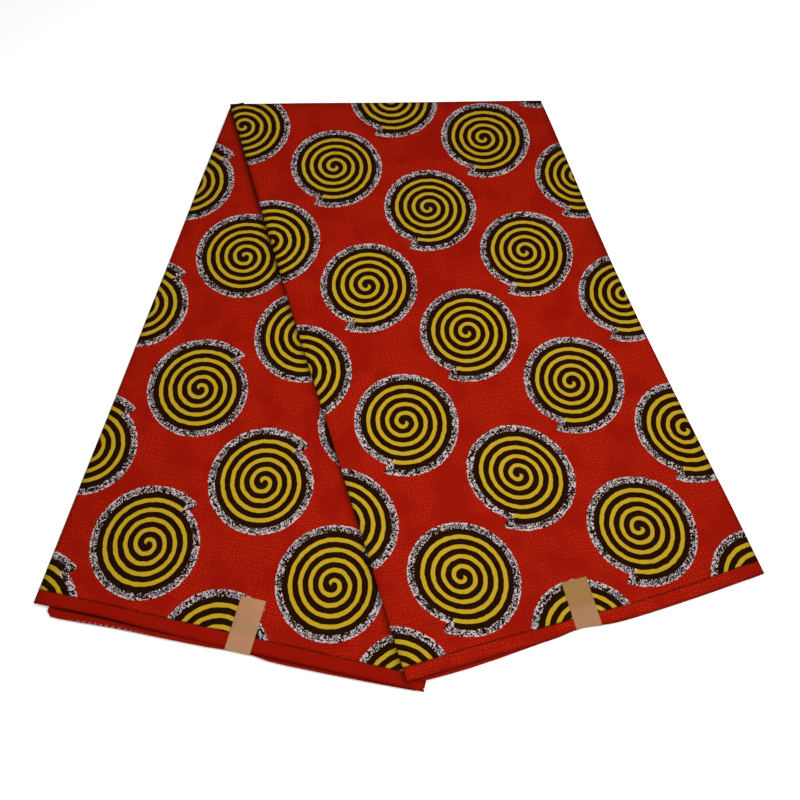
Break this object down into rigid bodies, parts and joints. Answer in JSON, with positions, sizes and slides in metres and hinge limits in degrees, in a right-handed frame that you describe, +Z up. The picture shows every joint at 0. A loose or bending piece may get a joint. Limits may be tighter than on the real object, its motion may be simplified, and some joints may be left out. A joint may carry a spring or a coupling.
{
  "type": "folded wax print fabric",
  "caption": "Length of printed cotton cloth, folded flat and fanned into two overlapping panels, with paper bands round its hems.",
  "frame": {"origin": "under the middle of the folded pack's bounding box, on the surface that it lies on", "axes": "+X to the right along the pack's width, +Y from the hems towards the top fold, +Z up out of the face"},
  "size_m": [0.6214, 0.6346, 0.0092],
  "materials": {
    "printed_cloth": "plain-woven cotton with a crisp, faint sheen, red ground printed with yellow and black spiral discs",
    "cloth_layers": "edges of the folded cotton layers, red",
    "paper": "smooth tan paper band with a soft sheen"
  },
  "bodies": {
    "root": {"hidden_layers": "cloth_layers", "left_panel": "printed_cloth", "right_panel": "printed_cloth", "left_second_layer": "printed_cloth", "right_second_layer": "printed_cloth", "paper_band_left": "paper", "paper_band_right": "paper"}
  },
  "joints": []
}
